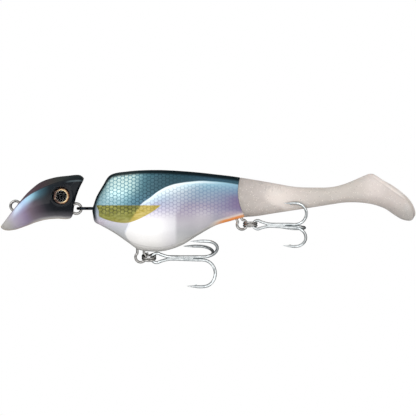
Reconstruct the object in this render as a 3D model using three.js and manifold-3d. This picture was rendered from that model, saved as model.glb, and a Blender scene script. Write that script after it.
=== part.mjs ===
// A jointed swimbait about 220 mm long: a wedge-shaped diving head linked by two wire loops to a
// hard deep-bellied body with a soft paddle tail, and two treble hooks on split rings.
// Millimetres. The head points to -X, the tail to +X, the back is up, and the fish's left is -Y.
// The origin is the centre of the line tie loop.
import * as THREE from 'three';
import { mergeVertices } from 'three/addons/utils/BufferGeometryUtils.js';
import Module from 'manifold-3d';

const wasm = await Module();
wasm.setup();

// ---- driving dimensions ----
const GAP = 0.3; // running gap between neighbouring pieces
const WALL = 2.0; // shell wall
const WIRE_R = 0.7; // hanger and head wire

// Stations: crest and keel as [x, z], the greatest half width, and how far the station bows forward.
// On the head, drop is how far the sharp ridge of the diving face lies below the crest.
const HEAD = [
  { crest: [-7.9, -11.0], keel: [-7.6, -11.6], half: 1.6, bow: 0, drop: 0.1 },
  { crest: [-7.0, -9.9], keel: [-6.2, -12.6], half: 4.4, bow: 0, drop: 0.15 },
  { crest: [-5.0, -7.3], keel: [-3.6, -13.0], half: 7.2, bow: 0, drop: 0.3 },
  { crest: [-1.2, -2.4], keel: [0.5, -12.4], half: 10.0, bow: 0, drop: 0.5 },
  { crest: [3.1, 3.2], keel: [5.8, -10.6], half: 11.6, bow: 0, drop: 1.1 },
  { crest: [7.5, 8.1], keel: [10.7, -8.7], half: 12.0, bow: 0, drop: 2.0 },
  { crest: [13.4, 12.7], keel: [16.1, -7.3], half: 11.8, bow: 0, drop: 2.7 },
  { crest: [20.5, 15.1], keel: [22.0, -6.8], half: 11.2, bow: 0, drop: 2.6 },
  { crest: [28.0, 16.1], keel: [27.0, -7.0], half: 10.3, bow: 0.5, drop: 2.2 },
  { crest: [33.5, 16.5], keel: [29.3, -6.4], half: 9.4, bow: 1.0, drop: 2.0 },
  { crest: [36.0, 15.0], keel: [30.4, -4.4], half: 8.4, bow: 1.3, drop: 1.2 },
  { crest: [35.8, 13.6], keel: [30.7, -2.8], half: 6.8, bow: 1.3, drop: 1.0 },
];
const BODY = [
  { crest: [40.9, -0.8], keel: [40.7, -2.8], half: 1.6, bow: 0 },
  { crest: [41.4, 0.6], keel: [41.1, -5.0], half: 4.2, bow: 0 },
  { crest: [43.1, 5.3], keel: [42.0, -8.4], half: 7.2, bow: 0.3 },
  { crest: [46.4, 11.0], keel: [45.2, -10.3], half: 9.8, bow: 0.5 },
  { crest: [49.2, 15.5], keel: [49.5, -12.6], half: 11.6, bow: 0.4 },
  { crest: [52.8, 17.4], keel: [54.5, -15.7], half: 12.9, bow: 0.2 },
  { crest: [59.0, 18.3], keel: [60.0, -19.6], half: 13.8, bow: 0 },
  { crest: [66.0, 18.9], keel: [65.5, -23.2], half: 14.2, bow: 0 },
  { crest: [74.7, 19.1], keel: [72.7, -24.4], half: 14.2, bow: 0 },
  { crest: [82.0, 18.9], keel: [80.0, -23.7], half: 13.7, bow: 0 },
  { crest: [90.0, 18.4], keel: [88.4, -20.6], half: 12.6, bow: 0.2 },
  { crest: [98.0, 17.7], keel: [97.2, -15.2], half: 10.9, bow: 0.6 },
  { crest: [106.0, 16.8], keel: [105.9, -10.4], half: 9.1, bow: 1.2 },
  { crest: [113.0, 16.0], keel: [114.2, -7.9], half: 7.6, bow: 1.8 },
  { crest: [118.7, 15.2], keel: [121.3, -5.9], half: 6.7, bow: 2.3 },
];
const TAIL = [
  { crest: [119.0, 15.1], keel: [121.6, -5.9], half: 6.6, bow: 2.3 },
  { crest: [126.0, 14.0], keel: [128.3, -5.3], half: 5.9, bow: 1.4 },
  { crest: [137.0, 12.1], keel: [137.5, -3.8], half: 4.7, bow: 0.6 },
  { crest: [148.0, 10.2], keel: [147.5, -2.3], half: 3.9, bow: 0.2 },
  { crest: [158.0, 9.8], keel: [156.5, -0.9], half: 3.4, bow: 0 },
  { crest: [167.0, 10.0], keel: [166.5, 0.7], half: 3.2, bow: 0 },
  { crest: [174.0, 11.6], keel: [174.0, 1.8], half: 3.3, bow: 0 },
  { crest: [180.5, 14.2], keel: [181.0, 1.9], half: 3.7, bow: 0 },
  { crest: [185.5, 16.4], keel: [187.0, 1.3], half: 4.7, bow: 0 },
  { crest: [188.0, 17.4], keel: [192.0, 0.1], half: 6.1, bow: -0.8 },
  { crest: [189.4, 17.3], keel: [196.5, -1.8], half: 7.6, bow: -1.8 },
  { crest: [190.8, 16.4], keel: [201.0, -4.9], half: 8.8, bow: -3.0 },
  { crest: [192.0, 15.5], keel: [205.4, -7.3], half: 9.5, bow: -4.2 },
  { crest: [193.2, 14.6], keel: [209.6, -7.7], half: 9.2, bow: -4.6 },
  { crest: [194.6, 13.4], keel: [211.6, -5.3], half: 8.2, bow: -4.0 },
];
// The wrist, where the soft tail bends: a knuckle of this radius turns up to this many degrees.
const WRIST = { x: 167, z: 5.3, radius: 3.5, limit: 42 };

const EYE = { x: 24.75, z: 5.14, radius: 4.1, floor: 7.9, disc: 0.6, dome: 1.6 };
const LINE_TIE = { radius: 2.65, slope: THREE.MathUtils.degToRad(51.5) };
const LINK = { x: 32.17, z: -1.38, radius: 2.7, leg: 2.3 }; // loop at the back of the head
const NOSE_EYE = { x: 35.7, z: -1.3, radius: 2.62, leg: 0.9, depth: 13, foot: 3 };
const BELLY_HANGER = { x: 66.3, z: -27.1, radius: 2.7, leg: 1.9, depth: 10, foot: 2.6, lean: 0 };
const REAR_HANGER = { x: 119.98, z: -9.8, radius: 2.6, leg: 1.4, depth: 8.6, foot: 1.8, lean: 27 };
const RING = { radius: 3.4, coil: 0.5, pitch: 1.44, inside: 1.0 };
// Each treble, measured from its ring: how it lies in degrees, its wire and eye, how the eye sits on the
// ring, the gape, and how far back the bend and the points are.
const FRONT_TREBLE = {
  roll: 23.8, yaw: 7.5, pitch: 4.1, wire: 0.78, eye: 2.75, seat: 0.8, sink: 0.48,
  gape: 15.3, bend: 28.8, point: 20.2,
};
const REAR_TREBLE = {
  roll: -6.4, yaw: 1.5, pitch: 1.8, wire: 0.72, eye: 2.3, seat: 0.55, sink: 0.15,
  gape: 13.3, bend: 23.6, point: 17.2,
};
const HOOK_NECK = 3.4; // from the eye's centre line to where the wires run together
const HOOK_FLARE = 0.15; // how far the wires part before the bend
const PEG = { z: 4.5, start: 107.5, flange: 3.1, neck: 1.9, barb: 2.7, tip: 147 };
const BALLAST = { x: 73, z: -15.5, radius: 4.6, length: 15 };
const NOSE_BALLAST = { x: 56.5, z: -8.2, radius: 3.1, length: 6 };

// ---- materials ----
function finish(color, roughness, metalness, opacity = 1) {
  const look = new THREE.MeshStandardMaterial({ color, roughness, metalness });
  look.transparent = opacity < 1;
  look.opacity = opacity;
  return look;
}
const headPaint = finish(0x2b3550, 0.2, 0.3);
const bodyPaint = finish(0x9fb6cf, 0.2, 0.35);
const steel = finish(0xa8a39b, 0.25, 1.0);
const blackWire = finish(0x1b2026, 0.35, 0.6);
const tinnedHook = finish(0xc3cdd0, 0.22, 1.0);
const foil = finish(0xb9793a, 0.3, 0.7);
const clear = finish(0xffffff, 0.05, 0.0, 0.3);
const softPlastic = finish(0xcfc8c2, 0.45, 0.0);
const lead = finish(0x6d6f72, 0.6, 0.8);
const hardPlastic = finish(0xd8d6d0, 0.4, 0.0);

const lure = new THREE.Group();
// Adds a named mesh. Slivers that a cut has left loose are dropped.
function add(name, body, material) {
  const pieces = body.decompose().sort((a, b) => b.volume() - a.volume());
  const mesh = new THREE.Mesh(toGeometry(pieces[0]), material);
  mesh.name = name;
  lure.add(mesh);
}

// ---- solids ----
function toSolid(geometry) {
  geometry.deleteAttribute('normal');
  geometry.deleteAttribute('uv');
  const merged = mergeVertices(geometry, 1e-4);
  return new wasm.Manifold(new wasm.Mesh({
    numProp: 3,
    vertProperties: new Float32Array(merged.attributes.position.array),
    triVerts: new Uint32Array(merged.index.array),
  }));
}

function toGeometry(body) {
  const mesh = body.getMesh();
  const geometry = new THREE.BufferGeometry();
  geometry.setAttribute('position', new THREE.BufferAttribute(mesh.vertProperties, 3));
  geometry.setIndex(new THREE.BufferAttribute(mesh.triVerts, 1));
  geometry.computeVertexNormals();
  return geometry;
}

// A solid through rings of points, closed at both ends by a fan.
function loft(rings) {
  const count = rings[0].length;
  const places = rings.flat();
  const first = new THREE.Vector3();
  const last = new THREE.Vector3();
  rings[0].forEach((p) => first.addScaledVector(p, 1 / count));
  rings[rings.length - 1].forEach((p) => last.addScaledVector(p, 1 / count));
  const index = [];
  for (let i = 0; i + 1 < rings.length; i += 1) {
    for (let k = 0; k < count; k += 1) {
      const a = i * count + k;
      const b = i * count + ((k + 1) % count);
      index.push(a, b, a + count, b, b + count, a + count);
    }
  }
  const end = (rings.length - 1) * count;
  for (let k = 0; k < count; k += 1) {
    const next = (k + 1) % count;
    index.push(places.length, next, k, places.length + 1, end + k, end + next);
  }
  const geometry = new THREE.BufferGeometry().setFromPoints([...places, first, last]);
  geometry.setIndex(index);
  return toSolid(geometry);
}

function box(x0, x1, y0, y1, z0, z1) {
  const geometry = new THREE.BoxGeometry(x1 - x0, y1 - y0, z1 - z0);
  return toSolid(geometry.translate((x0 + x1) / 2, (y0 + y1) / 2, (z0 + z1) / 2));
}

// A lathed solid whose axis runs along +X, +Y or +Z from the given place.
function lathe(profile, axis, place, segments = 20) {
  const geometry = new THREE.LatheGeometry(profile.map((p) => new THREE.Vector2(...p)), segments);
  if (axis === 'x') geometry.rotateZ(-Math.PI / 2);
  if (axis === 'z') geometry.rotateX(Math.PI / 2);
  return toSolid(geometry.translate(...place));
}

function rod(radius, from, to, axis, place, segments = 20) {
  return lathe([[0, from], [radius, from], [radius, to], [0, to]], axis, place, segments);
}

// A round wire along a list of points.
function wire(points, radius, steps, sides = 8) {
  const round = [];
  const reach = radius / Math.sqrt(Math.cos(Math.PI / sides)); // keeps about the area of a circle
  for (let k = 0; k < sides; k += 1) {
    const angle = (k / sides) * 2 * Math.PI;
    round.push(new THREE.Vector2(reach * Math.cos(angle), reach * Math.sin(angle)));
  }
  const extrudePath = new THREE.CatmullRomCurve3(points);
  return toSolid(new THREE.ExtrudeGeometry(new THREE.Shape(round), { steps, extrudePath }));
}

// ---- lofted bodies ----
// A smooth value between stations: station i sits at i / (number of stations - 1).
function between(stations, u) {
  const read = (pick) => {
    const curve = new THREE.CatmullRomCurve3(stations.map(pick), false, 'catmullrom');
    return curve.getPoint(u);
  };
  const crest = read((s) => new THREE.Vector3(s.crest[0], s.half, s.crest[1]));
  const keel = read((s) => new THREE.Vector3(s.keel[0], s.bow, s.keel[1]));
  const drop = read((s) => new THREE.Vector3(s.drop ?? 0, 0, 0)).x;
  return { crest, keel, half: crest.y, bow: keel.y, drop };
}

// A place on a station's plane, at y and at the share up from the keel to the crest.
function placeAt(station, y, share) {
  const x = THREE.MathUtils.lerp(station.keel.x, station.crest.x, share);
  const z = THREE.MathUtils.lerp(station.keel.z, station.crest.z, share);
  return new THREE.Vector3(x - station.bow * 4 * share * (1 - share), y, z);
}

function inset(station, wall) {
  const up = new THREE.Vector3().subVectors(station.crest, station.keel).setY(0).normalize();
  const crest = station.crest.clone().addScaledVector(up, -wall);
  const keel = station.keel.clone().addScaledVector(up, wall);
  return { ...station, crest, keel, half: station.half - wall };
}

function ovalRing(station, count, fullness) {
  const ring = [];
  for (let k = 0; k < count; k += 1) {
    const angle = (k / count) * 2 * Math.PI;
    const side = Math.sin(angle);
    const rise = Math.cos(angle);
    const y = station.half * Math.sign(side) * Math.abs(side) ** (2 / fullness);
    const share = 0.5 - 0.5 * Math.sign(rise) * Math.abs(rise) ** (2 / fullness);
    ring.push(placeAt(station, y, share));
  }
  return ring;
}

// The head's section: a round chin up to the ridge on each side, then a low crown over the face.
function wedgeRing(station, chinSteps, crownSteps) {
  const height = station.crest.distanceTo(new THREE.Vector3(station.keel.x, station.half, station.keel.z));
  const ridge = 1 - station.drop / height;
  const side = [];
  for (let k = 1; k <= chinSteps; k += 1) {
    const angle = (k / chinSteps) * Math.PI / 2;
    side.push([station.half * Math.sin(angle) ** 0.9, ridge * (1 - Math.cos(angle) ** 0.95)]);
  }
  for (let k = 1; k < crownSteps; k += 1) {
    const inward = 1 - k / crownSteps;
    side.push([station.half * inward, ridge + (1 - ridge) * (1 - inward ** 2)]);
  }
  const right = side.map(([y, share]) => placeAt(station, y, share));
  const left = side.map(([y, share]) => placeAt(station, -y, share)).reverse();
  return [placeAt(station, 0, 0), ...right, placeAt(station, 0, 1), ...left];
}

function stationRange(stations, from, to, steps) {
  const list = [];
  for (let k = 0; k <= steps; k += 1) list.push(between(stations, from + (to - from) * (k / steps)));
  return list;
}

const leftSide = box(-50, 260, -60, -GAP / 2, -80, 80);
const rightSide = box(-50, 260, GAP / 2, 60, -80, 80);

// ---- wires ----
// Points of a loop in a plane: two legs along `inward`, feet turned out at their ends.
function loopPoints(loop, inward, across) {
  const centre = new THREE.Vector3(loop.x, 0, loop.z);
  const at = (deep, wide) => centre.clone().addScaledVector(inward, deep).addScaledVector(across, wide);
  const opening = Math.asin(loop.leg / loop.radius);
  const start = loop.radius * Math.cos(opening);
  const leg = [
    at(loop.depth, loop.leg + loop.foot),
    at(loop.depth, loop.leg + 0.8),
    at(loop.depth - 0.8, loop.leg),
    at((loop.depth + start) / 2, loop.leg),
  ];
  const mirrored = [
    at((loop.depth + start) / 2, -loop.leg),
    at(loop.depth - 0.8, -loop.leg),
    at(loop.depth, -loop.leg - 0.8),
    at(loop.depth, -loop.leg - loop.foot),
  ];
  const arc = [];
  for (let k = 0; k <= 12; k += 1) {
    const angle = opening + (2 * Math.PI - 2 * opening) * (k / 12);
    arc.push(at(loop.radius * Math.cos(angle), loop.radius * Math.sin(angle)));
  }
  return [...leg, ...arc, ...mirrored];
}

const X = new THREE.Vector3(1, 0, 0);
const Y = new THREE.Vector3(0, 1, 0);
const Z = new THREE.Vector3(0, 0, 1);
const lean = THREE.MathUtils.degToRad(REAR_HANGER.lean);
const leanUp = new THREE.Vector3(-Math.sin(lean), 0, Math.cos(lean));
const leanAcross = new THREE.Vector3(Math.cos(lean), 0, Math.sin(lean));

const noseEyePoints = loopPoints(NOSE_EYE, X, Y);
const bellyHangerPoints = loopPoints(BELLY_HANGER, Z, X);
const rearHangerPoints = loopPoints(REAR_HANGER, leanUp, leanAcross);

// The head wire: from the chin round the line tie, back through the head and round the link loop.
function headWirePoints() {
  const { radius, slope } = LINE_TIE;
  const face = new THREE.Vector3(Math.cos(slope), 0, Math.sin(slope));
  const out = new THREE.Vector3(-Math.sin(slope), 0, Math.cos(slope));
  const points = [new THREE.Vector3(8.2, 0, -6.0), new THREE.Vector3(4.6, 0, -6.3)];
  points.push(face.clone().multiplyScalar(-radius).addScaledVector(out, -3.6));
  for (let k = 0; k <= 8; k += 1) {
    const angle = -Math.PI / 2 + Math.PI * (k / 8);
    points.push(face.clone().multiplyScalar(radius * Math.sin(angle))
      .addScaledVector(out, radius * Math.cos(angle)));
  }
  points.push(face.clone().multiplyScalar(radius).addScaledVector(out, -3.6));
  const upper = LINK.z + LINK.leg;
  const lower = LINK.z - LINK.leg;
  points.push(new THREE.Vector3(9, 0, -0.6), new THREE.Vector3(16, 0, upper));
  points.push(new THREE.Vector3(24, 0, upper));
  const opening = Math.asin(LINK.leg / LINK.radius);
  for (let k = 0; k <= 10; k += 1) {
    const angle = Math.PI - opening - (2 * Math.PI - 2 * opening) * (k / 10);
    points.push(new THREE.Vector3(
      LINK.x + LINK.radius * Math.cos(angle), 0, LINK.z + LINK.radius * Math.sin(angle),
    ));
  }
  points.push(new THREE.Vector3(24, 0, lower), new THREE.Vector3(16, 0, lower));
  return points;
}

const fatWire = (points, steps) => wire(points, WIRE_R + GAP, steps, 6);
const headWire = headWirePoints();

// ---- head ----
function buildHead() {
  const outer = loft(stationRange(HEAD, 0, 1, 20).map((s) => wedgeRing(s, 7, 3)));
  const hollow = stationRange(HEAD, 0.47, 0.74, 6).map((s) => wedgeRing(inset(s, WALL), 5, 2));
  let cavity = loft(hollow);
  cavity = cavity.subtract(rod(EYE.radius + 1.4, -20, -(EYE.floor - 1.6), 'y', [EYE.x, 0, EYE.z]));
  cavity = cavity.subtract(rod(EYE.radius + 1.4, EYE.floor - 1.6, 20, 'y', [EYE.x, 0, EYE.z]));
  const grooves = fatWire(headWire, 48);
  const seat = EYE.radius + GAP;
  for (const [name, half, sign] of [['left', leftSide, -1], ['right', rightSide, 1]]) {
    const floor = sign * EYE.floor;
    const socket = rod(seat, Math.min(floor, sign * 20), Math.max(floor, sign * 20), 'y', [EYE.x, 0, EYE.z]);
    add(`head_shell_${name}`, outer.intersect(half).subtract(cavity).subtract(grooves).subtract(socket), headPaint);
    const back = EYE.floor + GAP;
    const front = back + EYE.disc;
    const disc = rod(EYE.radius, Math.min(sign * back, sign * front), Math.max(sign * back, sign * front),
      'y', [EYE.x, 0, EYE.z], 24);
    add(`eye_disc_${name}`, disc, foil);
    add(`eye_lens_${name}`, eyeLens(front + GAP, sign), clear);
  }
  add('head_wire', wire(headWire, WIRE_R, 60), steel);
}

// A plano-convex lens whose flat side is at the given distance from the centre plane.
function eyeLens(back, sign) {
  const profile = [[0, 0], [EYE.radius, 0]];
  for (let k = 0; k <= 5; k += 1) {
    const angle = (k / 5) * Math.PI / 2;
    profile.push([EYE.radius * Math.cos(angle), 0.3 + (EYE.dome - 0.3) * Math.sin(angle)]);
  }
  profile[profile.length - 1][0] = 0;
  const lens = new THREE.LatheGeometry(profile.map((p) => new THREE.Vector2(...p)), 20);
  if (sign < 0) lens.rotateX(Math.PI);
  return toSolid(lens.translate(EYE.x, sign * back, EYE.z));
}

// ---- hard body ----
const pegProfile = [
  [0, 0], [PEG.flange, 0], [PEG.flange, 2], [PEG.neck, 2], [PEG.neck, 20], [PEG.barb, 20],
  [PEG.neck, 25], [PEG.barb, 25], [PEG.neck, 30], [PEG.barb, 30], [PEG.neck, 35],
  [1.0, PEG.tip - PEG.start], [0, PEG.tip - PEG.start],
];

function buildBody() {
  const outer = loft(stationRange(BODY, 0, 1, 26).map((s) => ovalRing(s, 24, 2.25)));
  const hollow = stationRange(BODY, 0.27, 0.82, 9).map((s) => ovalRing(inset(s, WALL), 12, 2.25));
  let cavity = loft(hollow);
  const { x: bx, z: bz, radius: br, length: bl } = BALLAST;
  const { x: nx, z: nz, radius: nr, length: nl } = NOSE_BALLAST;
  const cradle = box(bx - 4, bx + 4, -20, 20, -40, bz);
  const noseCradle = box(nx - 2, nx + 2, -20, 20, -40, nz + 1);
  const hangerBoss = box(BELLY_HANGER.x - 6, BELLY_HANGER.x + 6, -4, 4, -40, BELLY_HANGER.z + 12);
  cavity = cavity.subtract(cradle).subtract(noseCradle).subtract(hangerBoss);
  const ballast = rod(br, -bl / 2, bl / 2, 'x', [bx + 4, 0, bz + 4.5], 16);
  const noseBallast = rod(nr, -nl / 2, nl / 2, 'x', [nx, 0, nz], 14);
  const pockets = rod(br + GAP, -bl / 2 - GAP, bl / 2 + GAP, 'x', [bx + 4, 0, bz + 4.5], 16)
    .add(rod(nr + GAP, -nl / 2 - GAP, nl / 2 + GAP, 'x', [nx, 0, nz], 14));
  const fatPeg = lathe([[0, -GAP], [PEG.flange + GAP, -GAP], [PEG.flange + GAP, 2 + GAP],
    [PEG.neck + GAP, 2 + GAP], [PEG.neck + GAP, 22], [0, 22]], 'x', [PEG.start, 0, PEG.z]);
  const grooves = fatWire(noseEyePoints, 26).add(fatWire(bellyHangerPoints, 26))
    .add(fatWire(rearHangerPoints, 26));
  const cut = cavity.add(pockets).add(fatPeg).add(grooves);
  add('body_shell_left', outer.intersect(leftSide).subtract(cut), bodyPaint);
  add('body_shell_right', outer.intersect(rightSide).subtract(cut), bodyPaint);
  add('nose_eye', wire(noseEyePoints, WIRE_R + 0.03, 34), blackWire);
  add('belly_hanger', wire(bellyHangerPoints, WIRE_R, 34), steel);
  add('rear_hanger', wire(rearHangerPoints, WIRE_R, 34), steel);
  add('belly_ballast', ballast, lead);
  add('nose_ballast', noseBallast, lead);
  add('tail_peg', lathe(pegProfile, 'x', [PEG.start, 0, PEG.z]), hardPlastic);
}

// ---- soft tail ----
// The tail bends at the wrist: a round knuckle on the moving part sits in a hollow of the root.
function buildTail() {
  const whole = loft(stationRange(TAIL, 0, 1, 26).map((s) => ovalRing(s, 18, 2.1)));
  const { x, z, radius } = WRIST;
  const reach = radius * Math.sin(THREE.MathUtils.degToRad(WRIST.limit));
  const behind = box(x, 260, -60, 60, -60, 60);
  const ahead = box(100, x - reach - GAP, -60, 60, -60, 60);
  const bore = rod(PEG.barb + 1.5 * GAP, PEG.start, PEG.tip + GAP, 'x', [0, 0, PEG.z], 14);
  const hollow = rod(radius + GAP, -20, 20, 'z', [x, 0, z], 24);
  const knuckle = rod(radius, -20, 20, 'z', [x, 0, z], 24);
  add('tail_root', whole.intersect(ahead).subtract(bore).subtract(hollow), softPlastic);
  add('tail_paddle', whole.intersect(behind.add(knuckle)), softPlastic);
}

// ---- split rings and treble hooks ----
// Built about the ring's centre, which lies in the XY plane, with the hook's eye in the XZ plane.
function placed(body, hanger, roll) {
  const turn = new THREE.Matrix4().makeRotationX(THREE.MathUtils.degToRad(roll));
  turn.setPosition(hanger.x + RING.inside + RING.radius, 0, hanger.z);
  return body.transform(turn.elements);
}

// A hook turned on its ring: yawed round the ring's centre and pitched about the ring's wire.
function hung(body, treble) {
  const turn = new THREE.Matrix4().makeRotationZ(THREE.MathUtils.degToRad(treble.yaw));
  turn.multiply(new THREE.Matrix4().makeTranslation(RING.radius, 0, 0));
  turn.multiply(new THREE.Matrix4().makeRotationY(THREE.MathUtils.degToRad(treble.pitch)));
  turn.multiply(new THREE.Matrix4().makeTranslation(-RING.radius, 0, 0));
  return body.transform(turn.elements);
}

function splitRing() {
  const profile = [];
  for (let k = 0; k < 8; k += 1) {
    const angle = (k / 8) * 2 * Math.PI + Math.PI / 8;
    const rise = (RING.pitch / 2) * Math.sign(Math.sin(angle));
    profile.push([RING.radius + RING.coil * Math.cos(angle), rise + RING.coil * Math.sin(angle)]);
  }
  return lathe([...profile, profile[0]], 'z', [0, 0, 0], 24);
}

// One leg of a treble: along the shank beside the axis, round the bend and back to the point.
function legPoints(treble, angle, spread) {
  const out = new THREE.Vector3(0, Math.cos(angle), Math.sin(angle));
  const start = RING.radius + treble.seat + treble.eye + HOOK_NECK;
  const low = spread + HOOK_FLARE;
  const bendRadius = (treble.gape - low) / 2;
  const at = (x, radial) => new THREE.Vector3(x, 0, -treble.sink).addScaledVector(out, radial);
  const points = [at(start, spread), at((start + treble.bend) / 2, spread), at(treble.bend - 3, low)];
  for (let k = 0; k <= 8; k += 1) {
    const turn = -Math.PI / 2 + Math.PI * (k / 8);
    const x = treble.bend + bendRadius * 0.95 * Math.cos(turn);
    points.push(at(x, low + bendRadius * (1 + Math.sin(turn))));
  }
  points.push(at(treble.point + 3.2, treble.gape - 0.1));
  return { points, out, tip: at(treble.point, treble.gape - 0.35) };
}

// The ground point at the end of a leg.
function pointCone(treble, leg) {
  const from = leg.points[leg.points.length - 1];
  const along = new THREE.Vector3().subVectors(leg.tip, from);
  const cone = new THREE.ConeGeometry(treble.wire * 0.98, along.length() + 0.4, 8);
  cone.applyQuaternion(new THREE.Quaternion().setFromUnitVectors(Y, along.clone().normalize()));
  const middle = from.clone().addScaledVector(along, 0.5 - 0.2 / along.length());
  return toSolid(cone.translate(middle.x, middle.y, middle.z));
}

function buildTreble(name, hanger, treble) {
  const packed = treble.wire * 2 / Math.sqrt(3);
  const third = Math.PI / 3 * 2;
  const upper = legPoints(treble, third, packed);
  const lower = legPoints(treble, -third, packed);
  const single = legPoints(treble, 0, packed + GAP);
  const eyeX = RING.radius + treble.seat;
  const eyeY = packed * Math.cos(third);
  const eyePoints = [];
  for (let k = 0; k <= 10; k += 1) {
    const angle = 0.9 + (2 * Math.PI - 1.8) * (k / 10);
    eyePoints.push(new THREE.Vector3(
      eyeX + treble.eye * Math.cos(angle), eyeY, treble.eye * Math.sin(angle) - treble.sink,
    ));
  }
  const path = [...[...upper.points].reverse(), ...eyePoints, ...lower.points];
  const start = upper.points[0].x;
  const web = box(start - 1, treble.bend - 7, eyeY - treble.wire * 0.8, eyeY + treble.wire * 0.45,
    -treble.wire - treble.sink, treble.wire - treble.sink);
  const double = wire(path, treble.wire, 80, 6).add(web)
    .add(pointCone(treble, upper)).add(pointCone(treble, lower));
  const shank = wire(single.points, treble.wire, 32, 6).add(pointCone(treble, single));
  add(`${name}_split_ring`, placed(splitRing(), hanger, treble.roll), steel);
  add(`${name}_double_hook`, placed(hung(double, treble), hanger, treble.roll), tinnedHook);
  add(`${name}_single_hook`, placed(hung(shank, treble), hanger, treble.roll), tinnedHook);
}

buildHead();
buildBody();
buildTail();
buildTreble('front', BELLY_HANGER, FRONT_TREBLE);
buildTreble('rear', REAR_HANGER, REAR_TREBLE);

export default lure;
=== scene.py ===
# The looks of a jointed swimbait about 220 mm long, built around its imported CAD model.
# Shapes are written in millimetres and made in metres. The head points to -X, the back is up and
# the fish's left is -Y. The origin is the centre of the line tie loop.
import math

import bpy
import numpy as np
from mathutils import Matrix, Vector


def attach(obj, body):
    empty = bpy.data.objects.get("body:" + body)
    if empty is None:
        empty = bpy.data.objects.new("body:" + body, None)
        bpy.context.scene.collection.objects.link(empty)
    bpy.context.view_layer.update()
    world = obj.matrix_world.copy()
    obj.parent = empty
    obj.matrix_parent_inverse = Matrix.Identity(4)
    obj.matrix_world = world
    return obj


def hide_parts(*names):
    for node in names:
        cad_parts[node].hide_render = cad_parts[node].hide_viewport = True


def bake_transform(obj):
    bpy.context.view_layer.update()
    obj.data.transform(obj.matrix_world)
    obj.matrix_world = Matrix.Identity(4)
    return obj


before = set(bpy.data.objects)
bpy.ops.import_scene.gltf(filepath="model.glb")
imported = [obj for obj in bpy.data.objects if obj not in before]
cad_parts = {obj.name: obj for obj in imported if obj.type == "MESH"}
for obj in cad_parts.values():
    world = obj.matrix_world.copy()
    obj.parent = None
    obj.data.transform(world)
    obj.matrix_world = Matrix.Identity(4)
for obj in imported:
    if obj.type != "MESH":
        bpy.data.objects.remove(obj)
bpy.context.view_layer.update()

MM = 0.001
WIRE = 0.7  # radius of the hanger and head wire

# ---- stations: crest and keel as (x, z), the half width, the forward bow and the ridge's drop ----
HEAD = [
    ((-7.9, -11), (-7.6, -11.6), 1.6, 0, 0.1),
    ((-7, -9.9), (-6.2, -12.6), 4.4, 0, 0.15),
    ((-5, -7.3), (-3.6, -13), 7.2, 0, 0.3),
    ((-1.2, -2.4), (0.5, -12.4), 10, 0, 0.5),
    ((3.1, 3.2), (5.8, -10.6), 11.6, 0, 1.1),
    ((7.5, 8.1), (10.7, -8.7), 12, 0, 2.2),
    ((13.4, 12.7), (16.1, -7.3), 11.8, 0, 3.6),
    ((20.5, 15.1), (22, -6.8), 11.2, 0, 3.1),
    ((28, 16.1), (27, -7), 10.3, 0.5, 2.2),
    ((33.5, 16.5), (29.3, -6.4), 9.4, 1, 2),
    ((36, 15), (30.4, -4.4), 8.4, 1.3, 1.2),
    ((35.8, 13.6), (30.7, -2.8), 6.8, 1.3, 1),
]
BODY = [
    ((40.9, -0.8), (40.7, -2.8), 1.6, 0, 0),
    ((41.4, 0.6), (41.1, -5), 4.2, 0, 0),
    ((43.1, 5.3), (42, -8.4), 7.2, 0.3, 0),
    ((46.4, 11), (45.2, -10.3), 9.8, 0.5, 0),
    ((49.2, 15.5), (49.5, -12.6), 11.6, 0.4, 0),
    ((52.8, 17.4), (54.5, -15.7), 12.9, 0.2, 0),
    ((59, 18.3), (60, -19.6), 13.8, 0, 0),
    ((66, 18.9), (65.5, -23.2), 14.2, 0, 0),
    ((74.7, 19.1), (72.7, -24.15), 14.2, 0, 0),
    ((82, 18.9), (80, -23.55), 13.7, 0, 0),
    ((90, 18.4), (88.4, -20.6), 12.6, 0.2, 0),
    ((98, 17.7), (97.2, -15.2), 10.9, 0.6, 0),
    ((106, 16.8), (105.9, -10.4), 9.1, 1.2, 0),
    ((113, 16), (114.2, -7.9), 7.6, 1.8, 0),
    ((118.7, 15.2), (121.3, -5.9), 6.7, 2.3, 0),
]
TAIL = [
    ((119, 15.1), (121.6, -5.9), 6.6, 2.3, 0),
    ((126, 14), (128.3, -5.3), 5.9, 1.4, 0),
    ((137, 12.1), (137.5, -3.8), 4.7, 0.6, 0),
    ((148, 10.2), (147.5, -2.3), 3.9, 0.2, 0),
    ((158, 9.8), (156.5, -0.9), 3.4, 0, 0),
    ((167, 10), (166.5, 0.7), 3.2, 0, 0),
    ((174, 11.6), (174, 1.8), 3.3, 0, 0),
    ((180.5, 14.2), (181, 1.9), 3.7, 0, 0),
    ((185.5, 16.4), (187, 1.3), 4.7, 0, 0),
    ((187.6, 17.1), (192, 0.1), 6.1, -0.8, 0),
    ((189.5, 17), (196.5, -1.8), 7.6, -1.8, 0),
    ((190.9, 16.2), (201, -4.9), 8.8, -3, 0),
    ((192, 15.5), (205.4, -7.3), 9.5, -4.2, 0),
    ((193.2, 14.6), (209.6, -7.7), 9.2, -4.6, 0),
    ((194.6, 13.4), (211.6, -5.3), 8.2, -4, 0),
]
EYE_X, EYE_Z, EYE_R = 24.75, 5.14, 4.1
EYE_FLOOR, EYE_DISC, EYE_DOME = 7.9, 0.6, 1.6  # how far out the socket starts, then two thicknesses
EYE_RIM_R, EYE_RIM_RISE, EYE_RIM_WIDTH = 5.75, 0.32, 0.42  # the raised ring round the socket
LINE_TIE_R, LINE_TIE_SLOPE = 2.65, math.radians(51.5)
REAR_LEAN = math.radians(27)  # how far the rear hanger leans
LINK = (32.17, -1.38, 2.7, 2.3)  # x, z, radius and half gap of the loop behind the head
RING_R, RING_INSIDE = 3.4, 1.0  # the split ring's radius, and how far inside its hanger it hangs
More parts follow.
